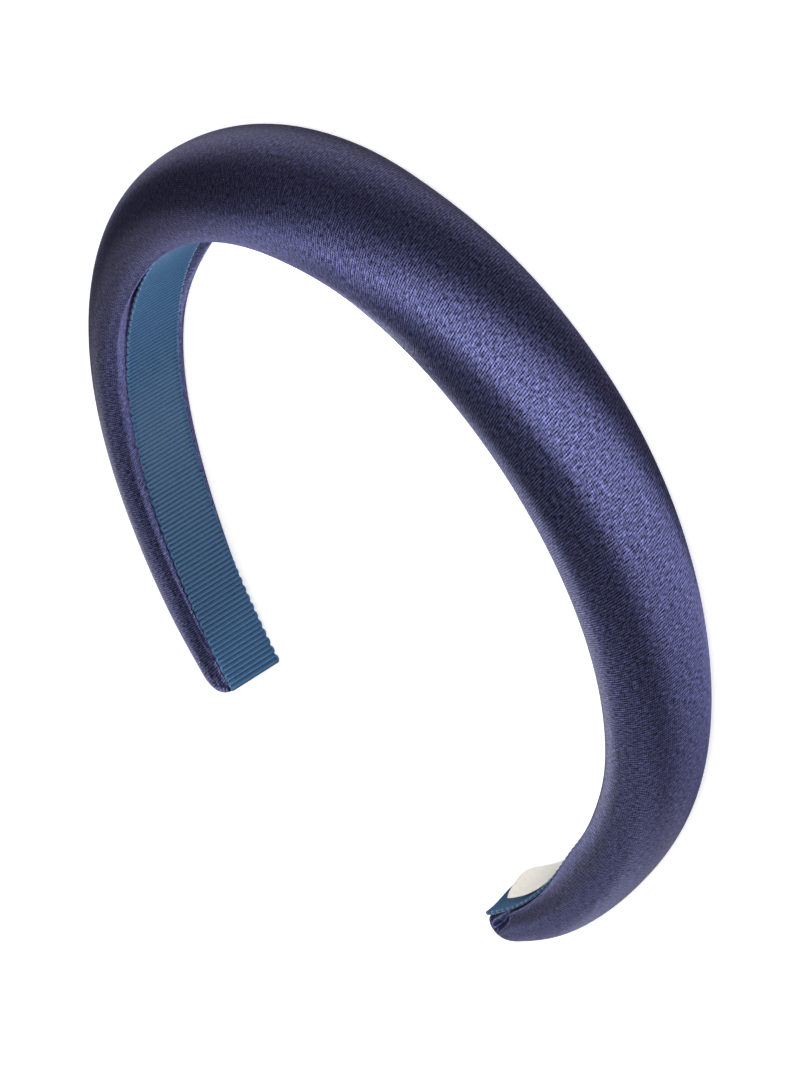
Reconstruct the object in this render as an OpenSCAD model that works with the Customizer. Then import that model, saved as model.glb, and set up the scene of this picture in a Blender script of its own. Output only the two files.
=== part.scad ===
// Padded headband lying on its side: an open arch of padded satin that is widest and thickest at
// the crown, a ribbon along its inner face and a small cloth label near one tip.
// +X runs ear to ear, +Y towards the crown and +Z up from the surface that it lies on. The origin
// is on that surface, under the middle of the bounding box. Lengths are millimetres.

/* [Arch] */
// Inner width at the arch's widest level
inner_w = 150.5; // [130:0.5:170]
// Height of the crown's inner face above the widest level
crown_rise = 75.5; // [60:0.5:95]
// Power of the crown's curve, 2 for an ellipse and more for a squarer one
crown_power = 2.05; // [1.8:0.05:2.6]
// Drop of the tips below the widest level
leg_drop = 74; // [50:0.5:90]
// Gap between the inner faces at the two tips
tip_gap = 82; // [60:1:120]
// Power of the legs' inward curve, more for a turn nearer the tips
leg_power = 1.95; // [1.3:0.05:2.5]

/* [Padding] */
// Width of the padding at the crown
pad_w = 28; // [22:0.5:40]
// Thickness of the padding at the crown
pad_t = 17; // [10:0.5:22]
// Width of the padding at the tips
tip_w = 16.5; // [15:0.5:22]
// Thickness of the padding at the tips, before they round off
tip_t = 9.5; // [6:0.5:12]
// How far the sides stand out past the flat inner face at the crown
side_out = 1.2; // [0.5:0.1:3]
// Length of the rounded nose at each tip
nose_len = 5; // [3:0.5:8]

/* [Ribbon] */
// Width of the ribbon
ribbon_w = 14; // [10:0.5:16]
// Thickness of the ribbon
ribbon_t = 1; // [0.6:0.1:1.5]
// Clearance under the ribbon, and under the label on it
seat_gap = 0.15; // [0.05:0.05:0.3]
// How far the ribbon reaches past each tip of the padding
ribbon_over = 1; // [0:0.5:2]
// How far the ribbon drifts towards the lower edge at the tips
ribbon_drift = 0.8; // [0:0.1:1.2]

/* [Label] */
// Length of the label along the ribbon
label_len = 18; // [10:1:30]
// Width of the label
label_w = 12.5; // [8:0.5:14]
// Thickness of the label
label_t = 0.8; // [0.5:0.1:1.2]
// Distance of the label from the ribbon's end
label_in = 10; // [4:1:25]

/* [Hidden] */

// Rows of the taper from the crown to a tip
PLACE = 0; // place along half the arch, 0 at the crown and 1 at the tip
WIDE = 1; // share of the way from the tip's width to the crown's
THICK = 2; // share of the way from the tip's thickness to the crown's
taper = [
    [0, 1, 1],
    [0.25, 0.92, 0.89],
    [0.5, 0.59, 0.44],
    [0.75, 0.37, 0.13],
    [0.9, 0.16, 0.2],
    [1, 0, 0],
];

// The section: its sides are widest at this share of the thickness, and its top is a dome whose
// power is under 1 where it is fuller than an ellipse
roll_level = 0.32;
dome_power = 0.9;
// The nose: shares of the width, thickness and inner rounding lost at its end, and the share of
// the thickness that both roundings close in on
nose_narrow = 0.28;
nose_thin = 0.4;
nose_under = 0.6;
nose_level = 0.15;
// Place along half the arch where the ribbon starts to drift
drift_from = 0.3;
// Facets of the arch's fine path, of the band, of a nose, and of the dome and sides
path_steps = 180;
band_steps = 40;
nose_steps = 6;
dome_steps = 18;
side_steps = 4;
label_steps = 6;
// Half the length over which the path's direction is measured
reach = 0.8;

satin_colour = "#4b4878";
ribbon_colour = "#3e698c";
label_colour = "#e1dad0";

// Half the arch's inner face from the crown to a tip, as points and as tables over arc length
curve = 2 / crown_power;
tip_inset = (inner_w - tip_gap) / 2;
half_path = concat(
    [for (i = [0:path_steps]) let (a = 90 - 90 * i / path_steps)
        [inner_w / 2 * pow(cos(a), curve), crown_rise * pow(sin(a), curve)]],
    [for (i = [1:path_steps]) let (q = i / path_steps)
        [inner_w / 2 - tip_inset * pow(q, leg_power), -leg_drop * q]]);
half_run = run_lengths(half_path);
half_len = half_run[len(half_run) - 1];
x_over = [for (i = [0:len(half_path) - 1]) [half_run[i], half_path[i].x]];
y_over = [for (i = [0:len(half_path) - 1]) [half_run[i], half_path[i].y]];
ribbon_end = half_len + ribbon_over;

function run_lengths(path) =
    [for (i = 0, run = 0; i < len(path);
        run = run + (i + 1 < len(path) ? norm(path[i + 1] - path[i]) : 0), i = i + 1) run];

// Direction of the half path at a run length, as an angle below +X
function heading(run) =
    let (from = max(run - reach, 0), to = min(run + reach, half_len))
    run < reach ? 0
    : atan2(lookup(from, y_over) - lookup(to, y_over), lookup(to, x_over) - lookup(from, x_over));

// Point at a signed run length, negative on the -X leg, and out along the normal there. Past a
// tip the path runs on straight.
function out_point(signed, out) =
    let (run = abs(signed), turn = heading(min(run, half_len)), past = max(run - half_len, 0),
        side = signed < 0 ? -1 : 1)
    [side * (lookup(run, x_over) + past * cos(turn) + out * sin(turn)),
        lookup(run, y_over) - past * sin(turn) + out * cos(turn)];

// Smooth curve through one column of the taper table, level at the crown
function taper_slope(row, column) =
    row == 0 ? 0
    : let (next = min(row + 1, len(taper) - 1))
    (taper[next][column] - taper[row - 1][column]) / (taper[next][PLACE] - taper[row - 1][PLACE]);
function taper_share(place, column) =
    let (row = max([for (i = [0:len(taper) - 2]) if (i == 0 || taper[i][PLACE] <= place) i]),
        gap = taper[row + 1][PLACE] - taper[row][PLACE], q = (place - taper[row][PLACE]) / gap)
    (2 * q ^ 3 - 3 * q ^ 2 + 1) * taper[row][column]
    + (q ^ 3 - 2 * q ^ 2 + q) * gap * taper_slope(row, column)
    + (3 * q ^ 2 - 2 * q ^ 3) * taper[row + 1][column]
    + (q ^ 3 - q ^ 2) * gap * taper_slope(row + 1, column);
function width_at(run) = tip_w + (pad_w - tip_w) * taper_share(run / half_len, WIDE);
function thick_at(run) = tip_t + (pad_t - tip_t) * taper_share(run / half_len, THICK);

// Section as [up, out] points: dome, lower side, flat inner face and upper side
function section(wide, thick) =
    let (half = wide / 2, level = roll_level * thick, edge = side_out * thick / pad_t,
        sides = [for (i = [1:side_steps]) let (a = 90 * i / side_steps)
            [half - edge + edge * cos(a), level - level * sin(a)]])
    concat(
        [for (i = [0:dome_steps]) let (a = 180 * i / dome_steps)
            [half * sign(cos(a)) * pow(abs(cos(a)), dome_power),
                level + (thick - level) * pow(abs(sin(a)), dome_power)]],
        [for (p = sides) [-p[0], p[1]]],
        [for (i = [side_steps - 1:-1:0]) sides[i]]);

// How far the nose has closed in at a run length, from 0 to 1 along a quarter circle
function nose_close(run) =
    let (v = max(0, min(1, (run - half_len + nose_len) / nose_len))) 1 - sqrt(1 - v * v);
function pad_ring(signed) =
    let (run = abs(signed), thick = thick_at(run), close = nose_close(run),
        level = nose_level * thick)
    [for (p = section(width_at(run), thick))
        let (keep = 1 - close * (p[1] > level ? nose_thin : nose_under),
            at = out_point(signed, level + (p[1] - level) * keep))
        [at.x, at.y, p[0] * (1 - nose_narrow * close)]];

// Run lengths of the rings from tip to tip
body_runs = [for (i = [0:band_steps]) (half_len - nose_len) * i / band_steps];
nose_runs = [for (i = [1:nose_steps]) half_len - nose_len + nose_len * sin(90 * i / nose_steps)];
half_runs = concat(body_runs, nose_runs);
pad_rings = [for (run = both_legs(half_runs)) pad_ring(run)];
ribbon_rings = [for (run = both_legs(concat(body_runs, [ribbon_end])))
    strip_ring(run, ribbon_w, seat_gap, ribbon_t)];

function both_legs(runs) = concat([for (i = [len(runs) - 1:-1:1]) -runs[i]], runs);
function drift_at(run) =
    -ribbon_drift * max(0, run / half_len - drift_from) / (1 - drift_from);
function strip_ring(signed, wide, inset, thick) =
    let (mid = drift_at(abs(signed)), near = out_point(signed, -inset),
        far = out_point(signed, -inset - thick))
    [[near.x, near.y, mid + wide / 2], [near.x, near.y, mid - wide / 2],
        [far.x, far.y, mid - wide / 2], [far.x, far.y, mid + wide / 2]];

// Lean that lays the band down. Of all pairs of rings with the balance point between them, the
// pair whose line reaches lowest under it carries the band.
feet = [for (run = body_runs)
    [out_point(run, roll_level * thick_at(run)).y, width_at(run) / 2]];
weights = [for (run = body_runs) width_at(run) * thick_at(run)];
balance = weights * [for (run = body_runs) out_point(run, thick_at(run) / 2).y]
    / (weights * [for (run = body_runs) 1]);
footings = [for (a = feet, b = feet) if (a[0] > balance && b[0] <= balance)
    let (slope = (a[1] - b[1]) / (a[0] - b[0])) [b[1] + slope * (balance - b[0]), slope]];
deepest = max([for (f = footings) f[0]]);
lean = atan([for (f = footings) if (f[0] == deepest) f[1]][0]);

// Where the leaning band's bounding box stands
function lean_y(p) = p.y * cos(lean) - p.z * sin(lean);
function lean_z(p) = p.y * sin(lean) + p.z * cos(lean);
outer = [for (rings = [pad_rings, ribbon_rings], ring = rings, p = ring) p];
leaning_y = [for (p = outer) lean_y(p)];
mid_y = (min(leaning_y) + max(leaning_y)) / 2;
low_z = min([for (p = outer) lean_z(p)]);

module lay_down() {
    translate([0, -mid_y, -low_z]) rotate([lean, 0, 0]) children();
}

// Closed skin through rings of equally many points
module skin(rings) {
    sides = len(rings[0]);
    last = len(rings) - 1;
    walls = [for (i = [0:last - 1], j = [0:sides - 1])
        let (a = i * sides + j, b = i * sides + (j + 1) % sides)
        each [[a, b, a + sides], [b, b + sides, a + sides]]];
    caps = [[for (j = [sides - 1:-1:0]) j], [for (j = [0:sides - 1]) last * sides + j]];
    polyhedron([for (ring = rings, p = ring) p], concat(walls, caps));
}

module padded_cover() {
    color(satin_colour) lay_down() skin(pad_rings);
}

module ribbon_lining() {
    color(ribbon_colour) lay_down() skin(ribbon_rings);
}

module label() {
    start = ribbon_end - label_in - label_len;
    inset = seat_gap + ribbon_t + seat_gap;
    rings = [for (i = [0:label_steps])
        strip_ring(start + label_len * i / label_steps, label_w, inset, label_t)];
    color(label_colour) lay_down() skin(rings);
}

padded_cover();
ribbon_lining();
label();
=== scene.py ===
import bpy
import numpy as np
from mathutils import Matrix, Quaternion, Vector


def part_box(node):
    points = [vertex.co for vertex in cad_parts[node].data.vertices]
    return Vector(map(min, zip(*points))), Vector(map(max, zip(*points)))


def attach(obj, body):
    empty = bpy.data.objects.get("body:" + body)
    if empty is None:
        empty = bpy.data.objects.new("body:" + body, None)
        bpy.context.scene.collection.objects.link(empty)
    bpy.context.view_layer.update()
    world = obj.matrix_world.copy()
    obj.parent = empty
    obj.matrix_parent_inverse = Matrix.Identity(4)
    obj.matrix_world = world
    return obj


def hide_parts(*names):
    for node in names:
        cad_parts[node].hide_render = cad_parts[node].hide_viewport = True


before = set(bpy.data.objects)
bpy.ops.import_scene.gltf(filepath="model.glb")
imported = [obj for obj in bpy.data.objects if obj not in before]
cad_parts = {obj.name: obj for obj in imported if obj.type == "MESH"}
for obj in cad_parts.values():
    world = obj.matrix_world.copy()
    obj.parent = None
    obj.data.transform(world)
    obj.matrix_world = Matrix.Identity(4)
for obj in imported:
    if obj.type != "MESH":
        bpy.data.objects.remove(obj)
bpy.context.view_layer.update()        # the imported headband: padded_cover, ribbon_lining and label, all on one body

# A padded satin headband lying on its side, with a grosgrain ribbon inside and a small cloth label.
# Lengths are millimetres until a mesh is made. "run" is the length along the arch's inner face,
# 0 at the crown, negative on the -X leg. "across" is the place over the band's width, positive
# towards the side that lies down, and "out" is the distance outwards from the inner face.
mm = 0.001
print("frame loaded")

cameraSet = {
    "place": (457.1, 618.9, 470.3),
    "aim": (0.8, -5.0, 8.2),
    "roll": -120.8,          # degrees, because the photo shows the crown at its upper left
    "lens": 148.1,
    "clip": (0.05, 20),      # metres
}


def makeCamera(s):
    # Looks from place to aim, then turns about its own line of sight.
    camera = bpy.data.objects.new("photoCamera", bpy.data.cameras.new("photoCamera"))
    bpy.context.scene.collection.objects.link(camera)
    camera.data.lens = s["lens"]
    camera.data.clip_start, camera.data.clip_end = s["clip"]
    place, aim = Vector(s["place"]) * mm, Vector(s["aim"]) * mm
    camera.location = place
    camera.rotation_mode = "QUATERNION"
    level = (aim - place).to_track_quat("-Z", "Y")
    camera.rotation_quaternion = level @ Quaternion((0, 0, 1), np.radians(s["roll"]))
    bpy.context.scene.camera = camera


makeCamera(cameraSet)
print("camera placed")

arch = {
    # as in the solids
    "innerWidth": 150.5, "crownRise": 75.5, "crownPower": 2.05,
    "legDrop": 74, "tipGap": 82, "legPower": 1.95,
    "steps": 1500,
}
band = {
    "place": [0, 0.25, 0.5, 0.75, 0.9, 1],          # share of the way from crown to tip
    "width": [1, 0.92, 0.59, 0.37, 0.16, 0],        # share from the tip's width to the crown's
    "thickness": [1, 0.89, 0.44, 0.13, 0.2, 0],     # the same for the thickness
    "crownWidth": 28, "tipWidth": 16.5,
    "crownThickness": 17, "tipThickness": 9.5,
    "rollLevel": 0.32,       # share of the thickness where the sides stand out most
    "domePower": 0.9,
    "noseLength": 5, "steps": 40,        # of the solid band, which sets how it leans
    "extentSteps": (400, 60),            # along it and round it, to find how far it reaches
}
# How far the folded cloth under the ribbon pushes the +X leg's upper inner edge inwards. Near the
# tip that edge lies further out, so there it is less than 0.
bulge = {
    "place": [0, 0.56, 0.66, 0.76, 0.84, 0.92, 1],
    "inward": [0, 0, 1.0, 1.6, -0.2, -1.7, -1.5],
    "from": 3, "to": -7,                 # it grows over this stretch of the width
    "fade": 0.6,                         # and is gone at this share of the thickness
}


def archPath(s):
    # Crown: x = half width times cos to the power 2/p, y = rise times sin to that power. Leg: x
    # comes in by the inset times q to its power while y drops evenly. Heading is the slope angle.
    curve = 2 / s["crownPower"]
    half = s["innerWidth"] / 2
    turn = np.linspace(np.pi / 2, 0, s["steps"])
    q = np.linspace(0, 1, s["steps"])[1:]
    inset = half - s["tipGap"] / 2
    crownX = half * np.clip(np.cos(turn), 0, 1) ** curve
    x = np.concatenate([crownX, half - inset * q ** s["legPower"]])
    y = np.concatenate([s["crownRise"] * np.sin(turn) ** curve, -s["legDrop"] * q])
    run = np.concatenate([[0], np.cumsum(np.hypot(np.diff(x), np.diff(y)))])
    heading = np.arctan2(-np.gradient(y, run), np.gradient(x, run))
    heading[0] = 0
    return run, x, y, heading


pathRun, pathX, pathY, pathHeading = archPath(arch)
halfLength = pathRun[-1]


def archPoint(run, across, out):
    # The path's point at |run| plus out times its normal. Past a tip the path goes straight on.
    side, far = np.sign(run) + (run == 0), np.abs(run)
    near = np.minimum(far, halfLength)
    turn = np.interp(near, pathRun, pathHeading)
    x = np.interp(near, pathRun, pathX) + (far - near) * np.cos(turn) + out * np.sin(turn)
    y = np.interp(near, pathRun, pathY) - (far - near) * np.sin(turn) + out * np.cos(turn)
    return np.stack(np.broadcast_arrays(side * x, y, -across), -1)


def share(run, column, table=band):
    # A cubic through one column of a table, level at the crown.
    place, rows = np.array(table["place"]), np.array(table[column], float)
    slope = np.zeros(len(rows))
    slope[1:-1] = (rows[2:] - rows[:-2]) / (place[2:] - place[:-2])
    slope[-1] = (rows[-1] - rows[-2]) / (place[-1] - place[-2])
    u = np.clip(np.abs(run) / halfLength, 0, 1)
    k = np.clip(np.searchsorted(place, u, side="right") - 1, 0, len(rows) - 2)
    gap = place[k + 1] - place[k]
    q = (u - place[k]) / gap
    return ((2 * q**3 - 3 * q**2 + 1) * rows[k] + (q**3 - 2 * q**2 + q) * gap * slope[k]
            + (3 * q**2 - 2 * q**3) * rows[k + 1] + (q**3 - q**2) * gap * slope[k + 1])


def widthAt(run):
    # The tip's width plus the table's share of what the crown has more.
    return band["tipWidth"] + (band["crownWidth"] - band["tipWidth"]) * share(run, "width")


def thicknessAt(run):
    more = band["crownThickness"] - band["tipThickness"]
    return band["tipThickness"] + more * share(run, "thickness")


def leanOfBand():
    # The band rests on the two places whose line passes lowest under its balance point.
    run = np.linspace(0, halfLength - band["noseLength"], band["steps"] + 1)
    wide, thick = widthAt(run), thicknessAt(run)
    foot = archPoint(run, 0, band["rollLevel"] * thick)[:, 1]
    balance = (wide * thick * archPoint(run, 0, thick / 2)[:, 1]).sum() / (wide * thick).sum()
    a, b = np.meshgrid(np.flatnonzero(foot > balance), np.flatnonzero(foot <= balance))
    slope = (wide[a] - wide[b]) / 2 / (foot[a] - foot[b])
    under = wide[b] / 2 + slope * (balance - foot[b])
    return np.arctan(slope.flat[under.argmax()])


def smoothStep(low, high, x):
    # 0 at low and 1 at high, by 3q^2 - 2q^3, level at both. High may be less than low.
    q = np.clip((x - low) / (high - low), 0, 1)
    return q * q * (3 - 2 * q)


lean = leanOfBand()


def leaning(points):
    # Turns the arch about X by the lean.
    x, y, z = np.moveaxis(points, -1, 0)
    return np.stack([x, y * np.cos(lean) - z * np.sin(lean), y * np.sin(lean) + z * np.cos(lean)], -1)


def plainExtent():
    # The plain band's highest y, at the crown's outer face, and lowest z, on its lower side.
    along, around = band["extentSteps"]
    run = np.linspace(0, halfLength, along)
    turn = np.linspace(0, np.pi / 2, around)[:, None]
    b, t = widthAt(run) / 2, thicknessAt(run)
    across = b * np.cos(turn) ** band["domePower"]
    out = t * (band["rollLevel"] + (1 - band["rollLevel"]) * np.sin(turn) ** band["domePower"])
    points = leaning(np.concatenate([archPoint(run, across, out), archPoint(run, -across, out)]))
    return points[..., 1].max(), points[..., 2].min()


topY, lowZ = plainExtent()
coverLow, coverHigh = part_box("padded_cover")
shift = np.array([0, coverHigh.y / mm - topY, coverLow.z / mm - lowZ])


def placed(run, across, out):
    # A section's point with its leg's bulge, set on the arch, leaned and put where the solids
    # stand, in metres. The bulge fades towards the outer side.
    grown = smoothStep(bulge["from"], bulge["to"], across)
    left = 1 - smoothStep(0, bulge["fade"], out / thicknessAt(run))
    inward = np.where(run > 0, share(run, "inward", bulge), 0) * grown * left
    return (leaning(archPoint(run, across, out - inward)) + shift) * mm


def bySide(run, pair):
    # The first value on the -X leg and the second on the +X leg.
    return np.where(run < 0, pair[0], pair[1])


def addNode(tree, kind, settings=(), inputs=()):
    # One node with its settings. An input is a value, a socket or a node whose first output it takes.
    node = tree.nodes.new(kind)
    for name, value in dict(settings).items():
        setattr(node, name, value)
    for key, value in dict(inputs).items():
        if isinstance(value, bpy.types.Node):
            value = value.outputs[0]
        if isinstance(value, bpy.types.NodeSocket):
            tree.links.new(value, node.inputs[key])
        else:
            node.inputs[key].default_value = value
    return node


def linear(hexColour, alpha=1.0):
    # An sRGB hex colour as linear light.
    c = np.array([int(hexColour[i:i + 2], 16) for i in (1, 3, 5)]) / 255
    return (*np.where(c <= 0.04045, c / 12.92, ((c + 0.055) / 1.055) ** 2.4), alpha)


def shaded(hexColour, amount):
    # The same colour, darker or lighter in linear light.
    return (*(amount * np.array(linear(hexColour)[:3])), 1.0)


def newMaterial(name, shader):
    # An empty tree with one Principled shader and its output.
    material = bpy.data.materials.new(name)
    material.use_nodes = True
    tree = material.node_tree
    tree.nodes.clear()
    main = addNode(tree, "ShaderNodeBsdfPrincipled", inputs=shader)
    addNode(tree, "ShaderNodeOutputMaterial", inputs={"Surface": main.outputs[0]})
    return material, tree, main


def stripes(tree, place, pitch, angle):
    # The sine of the distance across lines that lie at an angle from the map's first axis.
    turn = np.radians(angle)
    along = (-2 * np.pi / pitch * np.sin(turn), 2 * np.pi / pitch * np.cos(turn), 0)
    phase = addNode(tree, "ShaderNodeVectorMath", {"operation": "DOT_PRODUCT"}, {0: place, 1: along})
    return addNode(tree, "ShaderNodeMath", {"operation": "SINE"}, {0: phase.outputs["Value"]})


def dashes(tree, place, wide, angle, length):
    # Noise stretched along lines at an angle from the map's first axis, so it breaks into dashes.
    turn = np.radians(angle)
    lines = addNode(tree, "ShaderNodeMapping", {"vector_type": "TEXTURE"},
                    {"Vector": place, "Rotation": (0, 0, turn), "Scale": (length, wide, 1)})
    return addNode(tree, "ShaderNodeTexNoise", inputs={"Vector": lines, "Scale": 1.0, "Detail": 0.0})


def gridMesh(name, points, faces, material, **maps):
    # A mesh from arrays: points in metres, faces of corner indices and, for each map, the corners'
    # places on the cloth.
    mesh = bpy.data.meshes.new(name)
    mesh.from_pydata(points, [], faces)
    for layerName, uvs in maps.items():
        mesh.uv_layers.new(name=layerName).data.foreach_set("uv", uvs.astype(np.float32).ravel())
    mesh.polygons.foreach_set("use_smooth", np.ones(len(faces), bool))
    mesh.materials.append(material)
    piece = bpy.data.objects.new(name, mesh)
    bpy.context.scene.collection.objects.link(piece)
    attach(piece, "root")
    return piece


def ringFaces(rings, columns, first=0):
    # Quads between neighbouring rings of a tube whose columns close, as corner indices. They face
    # outwards where the rings run as the cover's do.
    i, j = np.meshgrid(np.arange(rings - 1), np.arange(columns), indexing="ij")
    k = (j + 1) % columns
    here, onward = i * columns, (i + 1) * columns
    corners = np.stack([here + j, onward + j, onward + k, here + k], -1)
    return first + corners.reshape(-1, 4)


cover = {
    "ringGap": 0.75, "endGap": 0.35, "endStretch": 14,       # along the band, and finer near the ends
    "domeColumns": 34, "sideColumns": 16, "hemColumns": 14, "seatColumns": 6,    # in half a section
    "ends": (-0.3, 0.1),                 # where the noses end, from the ends of the arch
    "noseLengths": (6.5, 4.5), "nosePowers": (2.6, 3.2), "noseRings": 24,
    "noseCentre": 0.38,                  # share of the thickness that the noses close in on
    "endCloth": 0.9,                     # the end's cloth starts at this share of the section
    "slim": 0.7, "slimFrom": 0.72,       # the -X leg's upper side gets narrower towards its tip
    "full": 0.6,                         # and its lower side is fuller near the crown
    "fullFrom": 0.1, "fullTo": 0.42, "fullFade": 0.15,
    "lip": 0.7,                          # there its rims roll this much further in
    "tipFull": 0.5, "tipFullAt": (0.84, 0.97),       # the +X leg is thicker towards its tip
    "hemEdge": 0.3, "hemStart": 0.2, "hemEnd": 0.35,     # how roundly the hem turns
    "seatEase": 0.35,                    # share of the seat over which it comes up to the ribbon
    "tuckUnder": 0.3,                    # how far the hem goes under the ribbon's edge
    "seatOut": -0.45,                    # the satin comes up to the ribbon behind its edge
    # the cloth is folded at the ends as on a parcel: on each side a crease goes from the ribbon's
    # edge to the end. Its ends are given as way back from the nose's end and out.
    "foldFrom": (11.5, -0.2), "foldTo": (2.6, 4.8),
    "foldDepths": (0.4, 2.5), "foldWidth": 1.1, "foldSpread": 1.8, "flapDepth": 0.5, "flapEase": -0.8,
    # what it fades over: out from the face, in from the side, back from the nose and up its length
    "foldOutFade": (5.8, 3.0), "foldRimFade": (-1.2, 0), "foldSideFade": (3.5, 6.5),
    "foldEndFade": (1.4, 4.6), "foldBackFade": (1, -3),
    "slants": (0.32, 0), "slantFrom": 9,     # and the -X end is slanting
}
# The inner corner of each leg from the crown to its tip: how far in from the side and out from the
# inner face the satin folds over, how far out its hem starts, lies and goes under the ribbon
leftCorner = {
    "place": [0, 0.16, 0.4, 0.64, 0.9, 1],
    "foldIn": [2.4, 2.4, 2.4, 1.1, 1.0, 2.0],
    "foldOut": [-1.3, -1.3, -1.3, 0.7, 0.7, 1.4],
    "startOut": [-1.3, -1.3, -1.3, -0.35, -0.3, 1.0],
    "hemOut": [-0.3, 0.9, 1.1, -0.2, -0.5, -0.1],
    "edgeOut": [0.05, 0.4, 0.5, 0.2, -0.2, 0.0],
}
rightCorner = {
    "place": [0, 0.4, 0.64, 0.9, 1],
    "foldIn": [2.4, 2.4, 1.4, 0.9, 0.9],
    "foldOut": [-1.3, -1.3, -0.6, -0.2, 0.1],
    "startOut": [-1.3, -1.3, -0.6, -0.25, 0.0],
    "hemOut": [-0.3, -0.3, -0.4, -0.25, -0.1],
    "edgeOut": [0.05, 0.05, -0.2, -0.2, -0.1],
}
ribbon = {
    "width": 14, "drifts": (0.8, -0.6), "driftFrom": 0.3,        # it drifts to one side on each leg
    "overs": (-0.3, -1.75),              # how far it passes the arch's ends, less than 0 if short
    "inner": 1.15,                       # how far in its inner face is
    "thin": 0.6, "thick": 1.0, "thickFrom": 0.93,    # its thickness, on the band and at the ends
    "ribPitch": 1.1, "ribHeight": 0.34, "rowsPerRib": 8, "columns": 12, "backColumns": 5,
    "edgeIn": 0.25, "edgeBow": 0.2, "bowPower": 0.6,     # its edges, which bow out behind each loop
    "edgeRound": 0.2, "edgeLevels": (0.35, 0.7),         # rounded, and full between these levels
    "lifts": (0.15, 0.3), "liftFrom": 7.0,       # the loose ends stand off the noses
    "loopYarn": 0.24, "loopReach": 0.5, "loopSwing": 0.62,   # a yarn's radius, and how far a loop goes
    "loopRoot": 0.35, "loopOver": 0.12,  # where it leaves the ribbon, and how far it goes on inside
    "loopDepth": 0.28, "loopTall": 1.2,  # how deep the yarn lies, and its height by its width
    "loopSides": 6, "loopSteps": 9,
}


# Degrees from the band's length to the way that the satin's gloss spreads. The cloth is cut on the
# bias, and where it is pulled tighter over the legs its threads turn towards the length.
gloss = {
    "place": [-1, -0.5, -0.25, 0, 0.45, 0.72, 0.86, 1],      # from the -X tip to the +X tip
    "angle": [-42, -32, -39, -49, -47, -39, -38, -50],
    "reach": 1.1, "steps": 500,          # the turning is summed a little past both tips
}


def driftAt(run):
    # How far across the ribbon's middle lies. It grows evenly from its start to the tip.
    past = np.abs(run) / halfLength - ribbon["driftFrom"]
    return bySide(run, ribbon["drifts"]) * np.clip(past / (1 - ribbon["driftFrom"]), 0, None)


def halfSection(run, side, counts):
    # Half of the section at each run, from the middle of the outer face to the middle of the inner
    # one. Dome: a quarter of a superellipse. Side: a quarter of an ellipse from the widest level to
    # the fold. Hem: a cubic Bezier curve from there to under the ribbon's edge. Seat: it comes up to
    # the ribbon by a smooth step.
    s, run = cover, run[:, None]
    u = run / halfLength
    b = widthAt(run) / 2
    t = thicknessAt(run) + s["tipFull"] * smoothStep(*s["tipFullAt"], u)
    nearCrown = smoothStep(-s["fullTo"] - s["fullFade"], -s["fullTo"], u)
    nearCrown = nearCrown * smoothStep(0, -s["fullFrom"], u)
    if side < 0:
        b = b - s["slim"] * smoothStep(-s["slimFrom"], -1, u)
    else:
        b = b + s["full"] * nearCrown
    h = band["rollLevel"] * t
    foldIn, foldOut, startOut, hemOut, edgeOut = (
        np.where(run < 0, share(run, column, leftCorner), share(run, column, rightCorner))
        for column in ("foldIn", "foldOut", "startOut", "hemOut", "edgeOut"))
    foldOut, startOut = foldOut - s["lip"] * nearCrown, startOut - s["lip"] * nearCrown
    turn = np.linspace(np.pi / 2, 0, counts[0])
    power = band["domePower"]
    dome = (b * np.cos(turn).clip(0) ** power, h + (t - h) * np.sin(turn) ** power)
    foldAcross = b - foldIn
    turn = np.linspace(0, np.pi / 2, counts[1] + 1)[1:]
    roll = (foldAcross + foldIn * np.cos(turn), h + (foldOut - h) * np.sin(turn))
    edge = ribbon["width"] / 2 + side * driftAt(run) - s["tuckUnder"]
    edge = np.minimum(edge, foldAcross - s["hemEdge"])
    reach = foldAcross - edge
    q = np.linspace(0, 1, counts[2] + 1)[1:]
    weights = [(1 - q)**3, 3 * q * (1 - q)**2, 3 * q**2 * (1 - q), q**3]
    hemAcross = [foldAcross, foldAcross - s["hemStart"] * reach, edge + s["hemEnd"] * reach, edge]
    hemOuts = [foldOut, startOut, hemOut, edgeOut]
    hem = [sum(w * p for w, p in zip(weights, points)) for points in (hemAcross, hemOuts)]
    q = np.linspace(0, 1, counts[3] + 1)[1:]
    seat = (edge * (1 - q), edgeOut + (s["seatOut"] - edgeOut) * smoothStep(0, s["seatEase"], q))
    across, out = (np.concatenate(parts, 1) for parts in zip(dome, roll, hem, seat))
    return across, out


def section(run, counts):
    # Both halves as one ring: inner middle, upper side, outer middle, lower side.
    upAcross, upOut = halfSection(run, -1, counts)
    downAcross, downOut = halfSection(run, 1, counts)
    across = np.concatenate([-upAcross[:, ::-1], downAcross[:, 1:-1]], 1)
    out = np.concatenate([upOut[:, ::-1], downOut[:, 1:-1]], 1)
    return across, out


def coverRuns(gap, endGap, noseRings):
    # Even rings along the band, then the rings of each nose. A nose is a superellipse v^p + keep^p =
    # 1 in even polar steps, with v the way along the nose and keep the share of the section left.
    polar = np.linspace(0, np.pi / 2, noseRings + 1)[1:]
    halves = []
    for end, length, power in zip(cover["ends"], cover["noseLengths"], cover["nosePowers"]):
        size = (np.sin(polar) ** power + np.cos(polar).clip(0) ** power) ** (1 / power)
        start = halfLength + end - length
        fine = start - cover["endStretch"]
        body = np.concatenate([np.linspace(0, fine, int(fine / gap) + 1)[:-1],
                               np.linspace(fine, start, int(cover["endStretch"] / endGap) + 1)])
        halves.append((np.concatenate([body, start + length * np.sin(polar) / size]),
                       np.concatenate([np.ones(len(body)), np.cos(polar).clip(0) / size])))
    left, right = halves
    run = np.concatenate([-left[0][:0:-1], right[0]])
    keep = np.concatenate([left[1][:0:-1], right[1]])
    return run, keep


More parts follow.
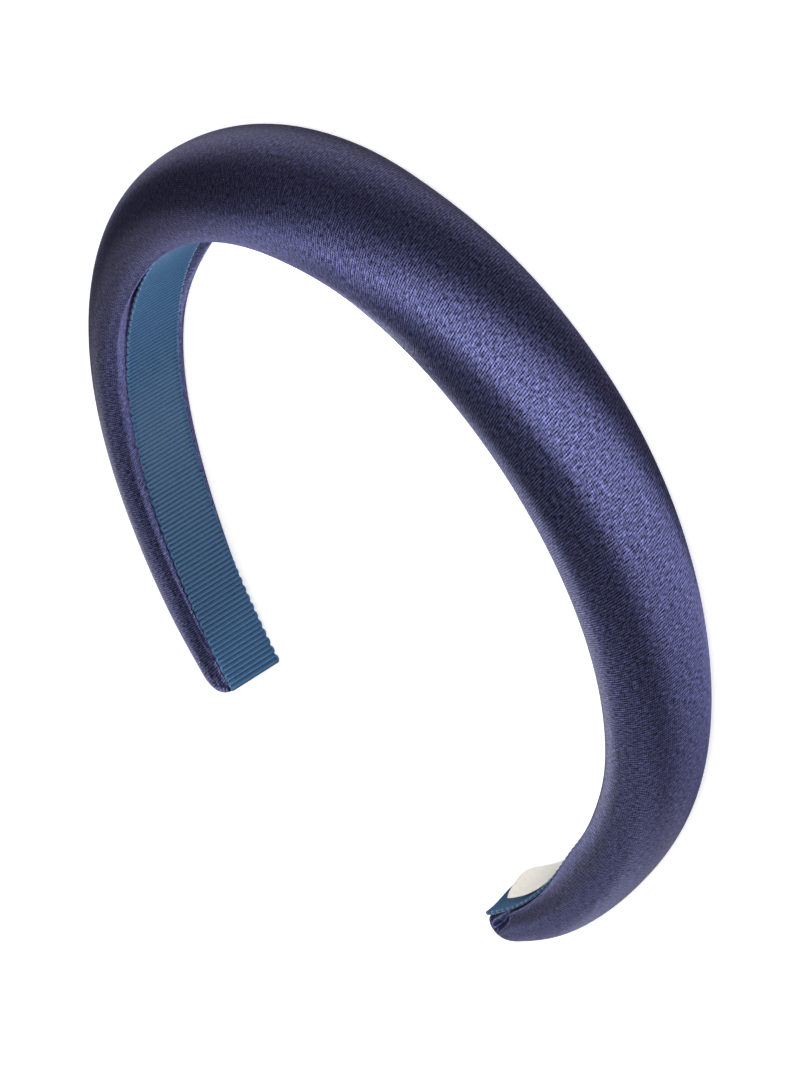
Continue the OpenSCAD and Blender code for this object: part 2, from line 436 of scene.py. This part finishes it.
def wrapEnd(run, across, out):
    # The parcel fold. Its crease is a bell curve of the distance from a straight line on the side,
    # wider towards the ribbon, and the flap between it and the ribbon lies a little deeper. Both push
    # the side in and fade out at the end. A slanting end goes on by its slope times across.
    s = cover
    back = halfLength + bySide(run, s["ends"]) - np.abs(run)
    (far, low), (near, high) = s["foldFrom"], s["foldTo"]
    slope = (high - low) / (far - near)
    away = (out - low - slope * (far - back)) / np.hypot(1, slope)
    wide = np.where(away < 0, s["foldSpread"], 1) * s["foldWidth"]
    crease = bySide(run, s["foldDepths"]) * np.exp(-(away / wide) ** 2)
    flap = s["flapDepth"] * smoothStep(0, s["flapEase"], away)
    depth = crease + flap
    depth = depth * smoothStep(*s["foldBackFade"], back - far) * smoothStep(*s["foldEndFade"], back)
    depth = depth * smoothStep(*s["foldOutFade"], out) * smoothStep(*s["foldRimFade"], out)
    depth = depth * smoothStep(*s["foldSideFade"], np.abs(across))
    onward = -bySide(run, s["slants"]) * across * smoothStep(s["slantFrom"], 0, back)
    return run + np.sign(run) * onward, across - np.sign(across) * depth


def glossMap(cloth):
    # The cloth's map turned by an angle that changes along the band: the steps along the band, each
    # turned by the angle there, are summed, and the turned way round the section is added.
    run = np.linspace(-gloss["reach"], gloss["reach"], gloss["steps"]) * halfLength
    turn = np.radians(np.interp(run / halfLength, gloss["place"], gloss["angle"]))
    step = run[1] - run[0]
    along, aside = np.cumsum(np.cos(turn)) * step, np.cumsum(np.sin(turn)) * step
    at, girth = cloth[:, 0], cloth[:, 1]
    here = np.interp(at, run, turn)
    return np.stack([np.interp(at, run, along) - np.sin(here) * girth,
                     np.interp(at, run, aside) + np.cos(here) * girth], -1)


def clothMap(run, keep, girth, across, out):
    # The place on the cloth of each face's corners: the run, and the way round the section. At the
    # ends the outer side's cloth goes on over the edge: there it is the run plus the way down from
    # the outer face, and across.
    wide = np.concatenate([girth, 2 * girth[:, -1:] - girth[:, -2:-1]], 1)
    across, out = (np.concatenate([part, part[:, :1]], 1) for part in (across, out))
    side = np.stack(np.broadcast_arrays(run, wide), -1)
    end = np.stack([run + np.sign(run) * (thicknessAt(run) - out), across], -1)
    i, j = np.meshgrid(np.arange(1, len(run) - 2), np.arange(wide.shape[1] - 1), indexing="ij")
    i, j = i.ravel(), j.ravel()
    onEnd = (np.maximum(keep[i], keep[i + 1]) < cover["endCloth"])[:, None]
    corners = [(i, j), (i + 1, j), (i + 1, j + 1), (i, j + 1)]
    uvs = np.stack([np.where(onEnd, end[at], side[at]) for at in corners], 1)
    j = np.arange(wide.shape[1] - 1)
    first = np.stack([end[0, j], end[1, j], end[1, j + 1]], 1)
    last = np.stack([end[-1, j], end[-2, j + 1], end[-2, j]], 1)
    return np.concatenate([part.reshape(-1, 2) for part in (uvs, first, last)])


def closedByNoses(run, keep, across, out):
    # Each section of a nose shrinks by its share towards a point inside the band.
    middle = cover["noseCentre"] * thicknessAt(run)[:, None]
    keep = keep[:, None]
    return across * keep, middle + (out - middle) * keep


# The satin is stretched over foam. How the foam swells it is worked out with Blender's cloth on a
# coarse copy that starts smaller. It is ten times as large, because the solver is steadier then.
swelling = {
    "scale": 10, "ringGap": 3.0, "noseRings": 4,
    "counts": (9, 4, 3, 2),      # columns of the dome, side, hem and seat
    "shrink": 0.02, "pressure": 4, "frames": 20, "stretchStiffness": 15,
    "cap": 0.4,                  # no point ends further from the drawn shape than this
    "stillEnds": 9,              # the noses keep their drawn shape over this length
}


def swollen(points, faces, held):
    # The points after the cloth has been blown up from inside, with the held ones fixed.
    s = swelling
    mesh = bpy.data.meshes.new("swellingCopy")
    mesh.from_pydata(points, [], faces)
    copy = bpy.data.objects.new("swellingCopy", mesh)
    bpy.context.scene.collection.objects.link(copy)
    copy.vertex_groups.new(name="held").add(held.tolist(), 1.0, "REPLACE")
    cloth = copy.modifiers.new("cloth", "CLOTH")
    cloth.settings.vertex_group_mass = "held"
    cloth.settings.use_pressure = True
    cloth.settings.uniform_pressure_force = s["pressure"]
    cloth.settings.tension_stiffness = cloth.settings.compression_stiffness = s["stretchStiffness"]
    cloth.settings.effector_weights.gravity = 0
    cloth.collision_settings.use_collision = False
    cloth.point_cache.frame_end = s["frames"]
    for frameNumber in range(1, s["frames"] + 1):
        bpy.context.scene.frame_set(frameNumber)
    after = copy.evaluated_get(bpy.context.evaluated_depsgraph_get()).data
    result = np.empty(points.size, np.float32)
    after.vertices.foreach_get("co", result)
    bpy.data.objects.remove(copy)
    bpy.data.meshes.remove(mesh)
    bpy.context.scene.frame_set(1)
    return result.reshape(points.shape)


def splineWeights(place, count, closes):
    # Uniform cubic B-spline weights of count values at places given in steps.
    whole = np.floor(place).astype(int)
    q = place - whole
    weights = np.zeros((len(place), count))
    parts = ((1 - q)**3, 3 * q**3 - 6 * q**2 + 4, -3 * q**3 + 3 * q**2 + 3 * q + 1, q**3)
    for k, part in enumerate(parts):
        at = whole - 1 + k
        at = at % count if closes else np.clip(at, 0, count - 1)
        np.add.at(weights, (np.arange(len(place)), at), part / 6)
    return weights


def swellMoves(run, counts):
    # How far the swelling moves each point of the fine rings, in metres.
    s, few = swelling, swelling["counts"]
    coarse, keep = coverRuns(s["ringGap"], s["ringGap"], s["noseRings"])
    across, out = section(coarse, few)
    drawn = placed(coarse[:, None], *closedByNoses(coarse, keep, across, out))
    b, t = widthAt(coarse)[:, None] / 2, thicknessAt(coarse)[:, None]
    less = (across * (1 - s["shrink"] / b), np.where(out > 0, out * (1 - s["shrink"] / t), out))
    start = placed(coarse[:, None], *closedByNoses(coarse, keep, *less))[1:-1]
    rings, columns = start.shape[:2]
    faces = ringFaces(rings, columns).tolist()
    caps = [list(range(columns)), list(range((rings - 1) * columns, rings * columns))[::-1]]
    # from the fold to the middle of the seat, on both sides, the cloth is sewn down
    fromOuter = np.abs(np.arange(columns) - (sum(few) - 1))
    held = np.flatnonzero(np.tile(fromOuter >= few[0] + few[1] - 1, rings))
    after = swollen(start.reshape(-1, 3) * s["scale"], faces + caps, held)
    moves = after.reshape(start.shape) / s["scale"] - drawn[1:-1]
    moves[:, fromOuter >= few[0] + few[1] - 1] = 0
    length = np.linalg.norm(moves, axis=-1, keepdims=True)
    moves = moves * np.minimum(1, s["cap"] * mm / np.maximum(length, 1e-9))
    back = halfLength + bySide(coarse, cover["ends"]) - np.abs(coarse)
    moves = np.concatenate([moves[:1], moves, moves[-1:]])
    moves = moves * smoothStep(0, s["stillEnds"], back)[:, None, None]
    print("satin swollen by", (moves**2).sum(-1).mean() ** 0.5 / mm, "mm")
    # the fine columns' places among the coarse ones, part by part of the half section
    manyMarks, fewMarks = (np.cumsum([0, c[0] - 1, c[1], c[2], c[3]]) for c in (counts, few))
    j = np.arange(2 * sum(counts) - 2) - (sum(counts) - 1)
    column = sum(few) - 1 + np.sign(j) * np.interp(np.abs(j), manyMarks, fewMarks)
    alongBand = splineWeights(np.interp(run, coarse, np.arange(len(coarse))), len(coarse), False)
    roundBand = splineWeights(column, columns, True)
    return np.einsum("ri,ijk,cj->rck", alongBand, moves, roundBand, optimize=True)


def makeCover(material):
    # The sections as rings along the band, closed by the noses, folded at the ends and set on the
    # arch, with the swelling added.
    s = cover
    counts = (s["domeColumns"], s["sideColumns"], s["hemColumns"], s["seatColumns"])
    run, keep = coverRuns(s["ringGap"], s["endGap"], s["noseRings"])
    across, out = section(run, counts)
    girth = np.cumsum(np.hypot(np.diff(across, axis=1, prepend=across[:, :1]),
                               np.diff(out, axis=1, prepend=out[:, :1])), 1)
    girth = girth - girth[:, sum(counts) - 1][:, None]      # 0 on the outer middle
    across, out = closedByNoses(run, keep, across, out)
    moves = swellMoves(run, counts)
    run = run[:, None]
    folded, across = wrapEnd(run, across, out)
    points = placed(folded, across, out) + moves
    points[..., 2] = points[..., 2].clip(0)     # the padding is pressed flat where it lies
    rings, columns = across.shape
    # the first and last ring have shrunk to one point each
    body = points[1:-1].reshape(-1, 3)
    points = np.concatenate([points[:1, 0], body, points[-1:, 0]])
    quads = ringFaces(rings - 2, columns, 1)
    j = np.arange(columns)
    k = (j + 1) % columns
    last = 1 + (rings - 3) * columns
    start = np.stack([np.zeros(columns, int), j + 1, k + 1], 1)
    finish = np.stack([np.full(columns, len(points) - 1), last + k, last + j], 1)
    faces = quads.tolist() + start.tolist() + finish.tolist()
    cloth = clothMap(run, keep, girth, across, out)
    piece = gridMesh("satin_cover", points, faces, material, cloth=cloth, gloss=glossMap(cloth))
    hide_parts("padded_cover")
    return piece


# Satin: a smooth float-faced weave of fine filament. The floats lie side by side like brushed
# metal, so the light spreads across the threads and the band has one long bright streak.
satin = {
    "shader": {"Metallic": 0.9, "Roughness": 0.57, "Anisotropic": 0.9, "Sheen Weight": 0.04,
               "Sheen Roughness": 0.6, "Sheen Tint": linear("#dac4ff")},
    "base": "#53567f",
    # the floats show as two families of lines broken into dashes: pitch, degrees from the band's
    # length, length of a dash, weight of the dashes and weight of the lines. The second family is
    # really 0.38 mm apart, which is too fine to show.
    # The lines are the weave's own, but the light on the dashes is painted glints and the dark between them painted
    # shade.
    "lines": [(0.47, -76, 1.1, 0.55, 0.1), (0.44, -2, 0.6, 0.33, 0.05)],
    "dashWide": 0.55,            # width of a dash, as a share of the pitch
    "slub": 0.2, "slubShare": 0.45,      # size and weight of the uneven spots in the yarn
    "low": 0.45, "high": 1.0, "power": 1.4,      # the stretch of the summed pattern that shows
    "gapShadeShare": 0.04, "floatGlintShare": 3.0,        # of the base colour: painted shade in the gaps and painted glints on the floats
    "bump": 0.02, "bumpStrength": 1.0,
}


def satinMaterial(s):
    material, tree, main = newMaterial("polyesterSatinWoven", s["shader"])
    place = addNode(tree, "ShaderNodeUVMap", {"uv_map": "cloth"})
    slub = addNode(tree, "ShaderNodeTexNoise",
                   inputs={"Vector": place, "Scale": 1 / s["slub"], "Detail": 2.0})
    weave = addNode(tree, "ShaderNodeMath", {"operation": "MULTIPLY"}, {0: slub, 1: s["slubShare"]})
    for pitch, angle, length, dash, line in s["lines"]:
        floats = dashes(tree, place, pitch * s["dashWide"], angle, length)
        rows = stripes(tree, place, pitch, angle)
        for pattern, weight in ((floats, dash), (rows, line)):
            weave = addNode(tree, "ShaderNodeMath", {"operation": "MULTIPLY_ADD"},
                            {0: pattern, 1: weight, 2: weave})
    tint = addNode(tree, "ShaderNodeMapRange", inputs={"Value": weave, 1: s["low"], 2: s["high"]})
    contrast = addNode(tree, "ShaderNodeMath", {"operation": "POWER"}, {0: tint, 1: s["power"]})
    # The base colour runs from painted shade in the weave's gaps to painted glints on its floats.
    colour = addNode(tree, "ShaderNodeMix", {"data_type": "RGBA"},
                     {"Factor": contrast, "A": shaded(s["base"], s["gapShadeShare"]),
                      "B": shaded(s["base"], s["floatGlintShare"])})
    tree.links.new(colour.outputs["Result"], main.inputs["Base Color"])
    bump = addNode(tree, "ShaderNodeBump",
                   inputs={"Height": weave, "Strength": s["bumpStrength"], "Distance": s["bump"] * mm})
    tree.links.new(bump.outputs[0], main.inputs["Normal"])
    tangent = addNode(tree, "ShaderNodeTangent", {"direction_type": "UV_MAP", "uv_map": "gloss"})
    tree.links.new(tangent.outputs[0], main.inputs["Tangent"])
    return material


def ribbonRuns(s):
    # Rows along the ribbon, a whole number of pairs of ribs long, and the pitch that gives.
    start, end = -halfLength - s["overs"][0], halfLength + s["overs"][1]
    pairs = round((end - start) / s["ribPitch"] / 2)
    return np.linspace(start, end, 2 * pairs * s["rowsPerRib"] + 1), (end - start) / pairs / 2


def ribbonOut(run, s):
    # How far out the ribbon's inner face lies, with the lifted ends.
    lift = np.clip((np.abs(run) - halfLength + s["liftFrom"]) / s["liftFrom"], 0, None)
    return -s["inner"] - bySide(run, s["lifts"]) * lift**2


def makeRibbon(material):
    # A closed strip. Its inner face is sin squared across each rib, and its edges bow out over each
    # pair of ribs.
    s = ribbon
    run, pitch = ribbonRuns(s)
    rib = np.abs(np.sin(np.pi * (run - run[0]) / pitch)) ** 2
    pair = np.abs(np.sin(np.pi * (run - run[0]) / (2 * pitch))) ** s["bowPower"]
    half = (s["width"] / 2 - s["edgeIn"] + s["edgeBow"] * pair)[:, None]
    flat = half - s["edgeRound"]
    face = np.linspace(-1, 1, s["columns"])
    back = np.linspace(1, -1, s["backColumns"])
    ends = smoothStep(s["thickFrom"], 1, np.abs(run) / halfLength)[:, None]
    body = s["thin"] + (s["thick"] - s["thin"]) * ends
    near, far = (level * body for level in s["edgeLevels"])
    sink = (s["ribHeight"] * (1 - rib))[:, None]
    across = np.concatenate([face * flat, half, half, back * flat, -half, -half], 1)
    deep = np.concatenate([sink + 0 * face, near, far, body + 0 * back, far, near], 1)
    out = ribbonOut(run, s)[:, None] + deep
    points = placed(run[:, None], across + driftAt(run)[:, None], out).reshape(-1, 3)
    rings, columns = across.shape
    faces = ringFaces(rings, columns)[:, ::-1]
    caps = [list(range(columns))[::-1], list(range((rings - 1) * columns, rings * columns))]
    place = np.stack(np.broadcast_arrays((run - run[0])[:, None] / pitch, across), -1).reshape(-1, 2)
    uvs = [place[faces.ravel()], place[caps[0]], place[caps[1]]]
    loopPoints, loopFaces, loopUvs = picotLoops(s, run[0], run[-1], pitch)
    loopFaces = [[k + len(points) for k in face] for face in loopFaces]
    points = np.concatenate([points, loopPoints])
    piece = gridMesh("grosgrain_ribbon", points, faces.tolist() + caps + loopFaces, material,
                     cloth=np.concatenate(uvs + [loopUvs]))
    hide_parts("ribbon_lining")
    return piece


def picotLoops(s, start, end, pitch):
    # At both edges the weft turns back over each pair of ribs: a half ellipse of yarn, swept by a
    # small circle. All loops are worked out as one array of loop, side of the ribbon, step and angle.
    count = round((end - start) / pitch / 2)
    middle = start + (2 * np.arange(count) + 1) * pitch
    edge = np.array([-1.0, 1.0])
    turn = np.linspace(-s["loopOver"], 1 + s["loopOver"], s["loopSteps"]) * np.pi
    around = np.linspace(0, 2 * np.pi, s["loopSides"], endpoint=False)
    middle, edge, turn, around = np.meshgrid(middle, edge, turn, around, indexing="ij")
    yarn = s["loopYarn"]
    swing = pitch * s["loopSwing"] + yarn * np.cos(around)
    reach = s["loopReach"] - yarn + yarn * np.cos(around)
    run = middle - swing * np.cos(turn)
    across = edge * (s["width"] / 2 - s["loopRoot"] + reach * np.sin(turn)) + driftAt(middle)
    out = ribbonOut(run, s) + s["loopDepth"] - edge * yarn * s["loopTall"] * np.sin(around)
    points = placed(run, across, out).reshape(-1, 3)
    loops, rings, columns = count * 2, s["loopSteps"], s["loopSides"]
    first = (np.arange(loops) * rings * columns)[:, None, None]
    faces = (ringFaces(rings, columns) + first).reshape(-1, 4)
    ends = np.stack([np.arange(columns), np.arange(rings * columns)[-1:-columns - 1:-1]])
    ends = (ends + first).reshape(-1, columns)
    # on the cloth's map the loops lie on a rib's back, so they take its painted highlight colour
    place = np.stack([0 * run + 0.5, across], -1).reshape(-1, 2)
    uvs = np.concatenate([place[faces.ravel()], place[ends.ravel()]])
    return points, faces.tolist() + ends.tolist(), uvs


# Grosgrain: matt warp packed over thick weft, so it has a round rib across every 1.1 mm. The
# filament gives a soft blue sheen; the ribs' backs carry a painted highlight, the grooves painted shade.
grosgrain = {
    "shader": {"Roughness": 0.55, "Sheen Weight": 0.7, "Sheen Roughness": 0.35,
               "Sheen Tint": linear("#b9d4ee")},
    # painted shade in the grooves' dark colour and a painted highlight in the ribs' light colour
    "grooveShade": "#06192f", "rib": "#28567f",
    "ribPower": 3.0, "ribHighlightShare": 0.75,   # the ribs' backs take the light colour as a painted highlight
    "warpPitch": 0.34, "warpShare": 0.1,
    "fleck": 1.6, "unevenShare": 0.5,    # flecks to a rib, and the weight of flecks and warp together
    "bump": 0.08, "bumpStrength": 0.5,
}


def grosgrainMaterial(s):
    material, tree, main = newMaterial("polyesterGrosgrainWoven", s["shader"])
    place = addNode(tree, "ShaderNodeUVMap", {"uv_map": "cloth"})
    # along the ribbon the map counts ribs, and a sine over two ribs is as high on both
    ribs = stripes(tree, place, 2.0, 90)
    ribs = addNode(tree, "ShaderNodeMath", {"operation": "ABSOLUTE"}, {0: ribs})
    ridgeHighlight = addNode(tree, "ShaderNodeMath", {"operation": "POWER"}, {0: ribs, 1: s["ribPower"]})
    ridgeHighlight = addNode(tree, "ShaderNodeMath", {"operation": "MULTIPLY"}, {0: ridgeHighlight, 1: s["ribHighlightShare"]})
    warp = stripes(tree, place, s["warpPitch"], 0)
    fleck = addNode(tree, "ShaderNodeTexNoise",
                    inputs={"Vector": place, "Scale": s["fleck"], "Detail": 3.0})
    uneven = addNode(tree, "ShaderNodeMath", {"operation": "MULTIPLY_ADD"},
                     {0: warp, 1: s["warpShare"], 2: fleck})
    height = addNode(tree, "ShaderNodeMath", {"operation": "MULTIPLY_ADD"},
                     {0: uneven, 1: s["unevenShare"], 2: ridgeHighlight})
    # painted shade in the grooves, a painted highlight on the ribs' backs
    colour = addNode(tree, "ShaderNodeMix", {"data_type": "RGBA"},
                     {"Factor": height, "A": linear(s["grooveShade"]), "B": linear(s["rib"])})
    tree.links.new(colour.outputs["Result"], main.inputs["Base Color"])
    bump = addNode(tree, "ShaderNodeBump",
                   inputs={"Height": uneven, "Strength": s["bumpStrength"], "Distance": s["bump"] * mm})
    tree.links.new(bump.outputs[0], main.inputs["Normal"])
    return material


label = {
    "length": 18, "width": 12.2, "thickness": 0.55,
    "fromEnd": 10.5, "gap": 0.15,        # how far it is from the ribbon's end and off its face
    "curl": 2.5, "curlPower": 1.5, "curlTop": -0.25,     # how its free end stands off the ribbon
    "edgePower": 10, "edgeThin": 0.35,   # its long edges round off to this share of the thickness
    "rows": 60, "columns": 40,
}


def makeLabel(material):
    # A closed strip of cloth. Its free end curls off the ribbon by a power of the way to that end
    # and a parabola over its width, so the lower corner stays down. Its long edges are rounded.
    s = label
    start = halfLength + ribbon["overs"][1] - s["fromEnd"] - s["length"]
    q = np.linspace(0, 1, s["rows"])
    run = start + s["length"] * q
    face = np.linspace(-1, 1, s["columns"])
    arched = 1 - ((face - s["curlTop"]) / (1 - s["curlTop"])) ** 2
    curl = s["curl"] * q[:, None] ** s["curlPower"] * arched
    fullness = 1 - np.abs(face) ** s["edgePower"]
    lowFace = ribbonOut(run, ribbon)[:, None] - s["gap"] - curl
    topFace = lowFace - s["thickness"] * (s["edgeThin"] + (1 - s["edgeThin"]) * fullness)
    across = np.tile(np.concatenate([face, face[::-1]]) * s["width"] / 2, (len(q), 1))
    out = np.concatenate([topFace, lowFace[:, ::-1]], 1)
    points = placed(run[:, None], across + driftAt(run)[:, None], out).reshape(-1, 3)
    rings, columns = across.shape
    faces = ringFaces(rings, columns)[:, ::-1]
    caps = [list(range(columns))[::-1], list(range((rings - 1) * columns, rings * columns))]
    place = np.stack(np.broadcast_arrays(run[:, None], across), -1).reshape(-1, 2)
    uvs = np.concatenate([place[faces.ravel()], place[caps[0]], place[caps[1]]])
    piece = gridMesh("cloth_label", points, faces.tolist() + caps, material, cloth=uvs)
    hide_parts("label")
    return piece


# Cotton tape: a plain matt weave in undyed white, so it shows as soft cream with faint threads.
labelCotton = {
    "shader": {"Roughness": 0.85, "Sheen Weight": 0.5, "Sheen Roughness": 0.6},
    "shade": "#e4d8c8", "light": "#fffaf0",
    "threadPitch": 0.5, "threadShare": 0.35,
    "slub": 0.8,
    "bump": 0.05, "bumpStrength": 0.6,
}


def labelMaterial(s):
    material, tree, main = newMaterial("cottonLabelWoven", s["shader"])
    place = addNode(tree, "ShaderNodeUVMap", {"uv_map": "cloth"})
    warp, weft = (stripes(tree, place, s["threadPitch"], angle) for angle in (0, 90))
    threads = addNode(tree, "ShaderNodeMath", {"operation": "MULTIPLY"}, {0: warp, 1: weft})
    slub = addNode(tree, "ShaderNodeTexNoise",
                   inputs={"Vector": place, "Scale": 1 / s["slub"], "Detail": 2.0})
    height = addNode(tree, "ShaderNodeMath", {"operation": "MULTIPLY_ADD"},
                     {0: threads, 1: s["threadShare"], 2: slub})
    colour = addNode(tree, "ShaderNodeMix", {"data_type": "RGBA"},
                     {"Factor": height, "A": linear(s["shade"]), "B": linear(s["light"])})
    tree.links.new(colour.outputs["Result"], main.inputs["Base Color"])
    bump = addNode(tree, "ShaderNodeBump",
                   inputs={"Height": height, "Strength": s["bumpStrength"], "Distance": s["bump"] * mm})
    tree.links.new(bump.outputs[0], main.inputs["Normal"])
    return material


coverPiece = makeCover(satinMaterial(satin))
print("satin cover made:", len(coverPiece.data.polygons), "faces")
ribbonPiece = makeRibbon(grosgrainMaterial(grosgrain))
print("ribbon made:", len(ribbonPiece.data.polygons), "faces")
labelPiece = makeLabel(labelMaterial(labelCotton))
print("label made")

studio = {
    "floorSize": 6.0,            # metres
    # matt white paper that glows a little, so that it shows as an even white
    "paper": {"Roughness": 0.9, "Base Color": linear("#f4f4f4"),
              "Emission Color": linear("#ffffff"), "Emission Strength": 0.6},
    "world": 0.03,
    "aim": (0, 0, 0.014), "distance": 1.4,       # where the lights look, and from how far, in metres
    "lights": {                  # azimuth and elevation in degrees, width and height in metres, watts
        "tallKeyWindow": (58, 5, 0.3, 2.2, 34),
        "upperKeyWindow": (62, 38, 0.35, 0.6, 4.5),
        "overheadWindow": (0, 85, 1.2, 1.2, 2.5),
        "backWindow": (270, 35, 0.8, 0.8, 3.9),
        "lowBackLeft": (240, 8, 0.8, 0.8, 4.0),
        "lowBackRight": (300, 8, 0.8, 0.8, 4.2),
        "tableBounceBack": (270, -20, 0.8, 0.8, 7.2),
        "tableBounceLeft": (180, -20, 0.8, 0.8, 1.9),
        "tableBounceFront": (140, -50, 0.8, 0.8, 2.1),
    },
    # small white cards inside the arch: aim, azimuth and elevation from it, distance, size and watts,
    # with the lengths in millimetres
    "cards": {
        "labelCard": ((46, -62, 14), 175, 20, 90, 30, 0.034),
        "ribbonCard": ((-50, 56, 14), 315, 20, 50, 20, 0.042),
    },
}


def addLamp(name, aim, azimuth, elevation, distance, wide, high, watts):
    # An area lamp that looks at its aim, in metres.
    a, e = np.radians(azimuth), np.radians(elevation)
    back = Vector((np.cos(a) * np.cos(e), np.sin(a) * np.cos(e), np.sin(e)))
    lamp = bpy.data.lights.new(name, "AREA")
    lamp.shape, lamp.energy = "RECTANGLE", watts
    lamp.size, lamp.size_y = wide, high
    light = bpy.data.objects.new(name, lamp)
    light.location = Vector(aim) + back * distance
    light.rotation_mode = "QUATERNION"
    light.rotation_quaternion = (-back).to_track_quat("-Z", "Y")
    light.visible_camera = False
    bpy.context.scene.collection.objects.link(light)


def makeStudio(s):
    mesh = bpy.data.meshes.new("studio_floor")
    half = s["floorSize"] / 2
    corners = [(-half, -half, 0), (half, -half, 0), (half, half, 0), (-half, half, 0)]
    mesh.from_pydata(corners, [], [(0, 1, 2, 3)])
    floor = bpy.data.objects.new("studio_floor", mesh)
    bpy.context.scene.collection.objects.link(floor)
    mesh.materials.append(newMaterial("studioPaper", s["paper"])[0])
    # white paper that lights nothing and shades nothing, as in a cut-out product photo
    floor.visible_diffuse = floor.visible_glossy = floor.visible_shadow = False
    world = bpy.data.worlds.new("studioWorld")
    bpy.context.scene.world = world
    world.use_nodes = True
    world.node_tree.nodes["Background"].inputs["Color"].default_value = (1, 1, 1, 1)
    world.node_tree.nodes["Background"].inputs["Strength"].default_value = s["world"]
    for name, (azimuth, elevation, wide, high, watts) in s["lights"].items():
        addLamp(name, s["aim"], azimuth, elevation, s["distance"], wide, high, watts)
    for name, (aim, azimuth, elevation, distance, size, watts) in s["cards"].items():
        size, distance = size * mm, distance * mm
        addLamp(name, np.array(aim) * mm, azimuth, elevation, distance, size, size, watts)


makeStudio(studio)
bpy.context.scene.view_settings.view_transform = "Standard"
print("studio made")
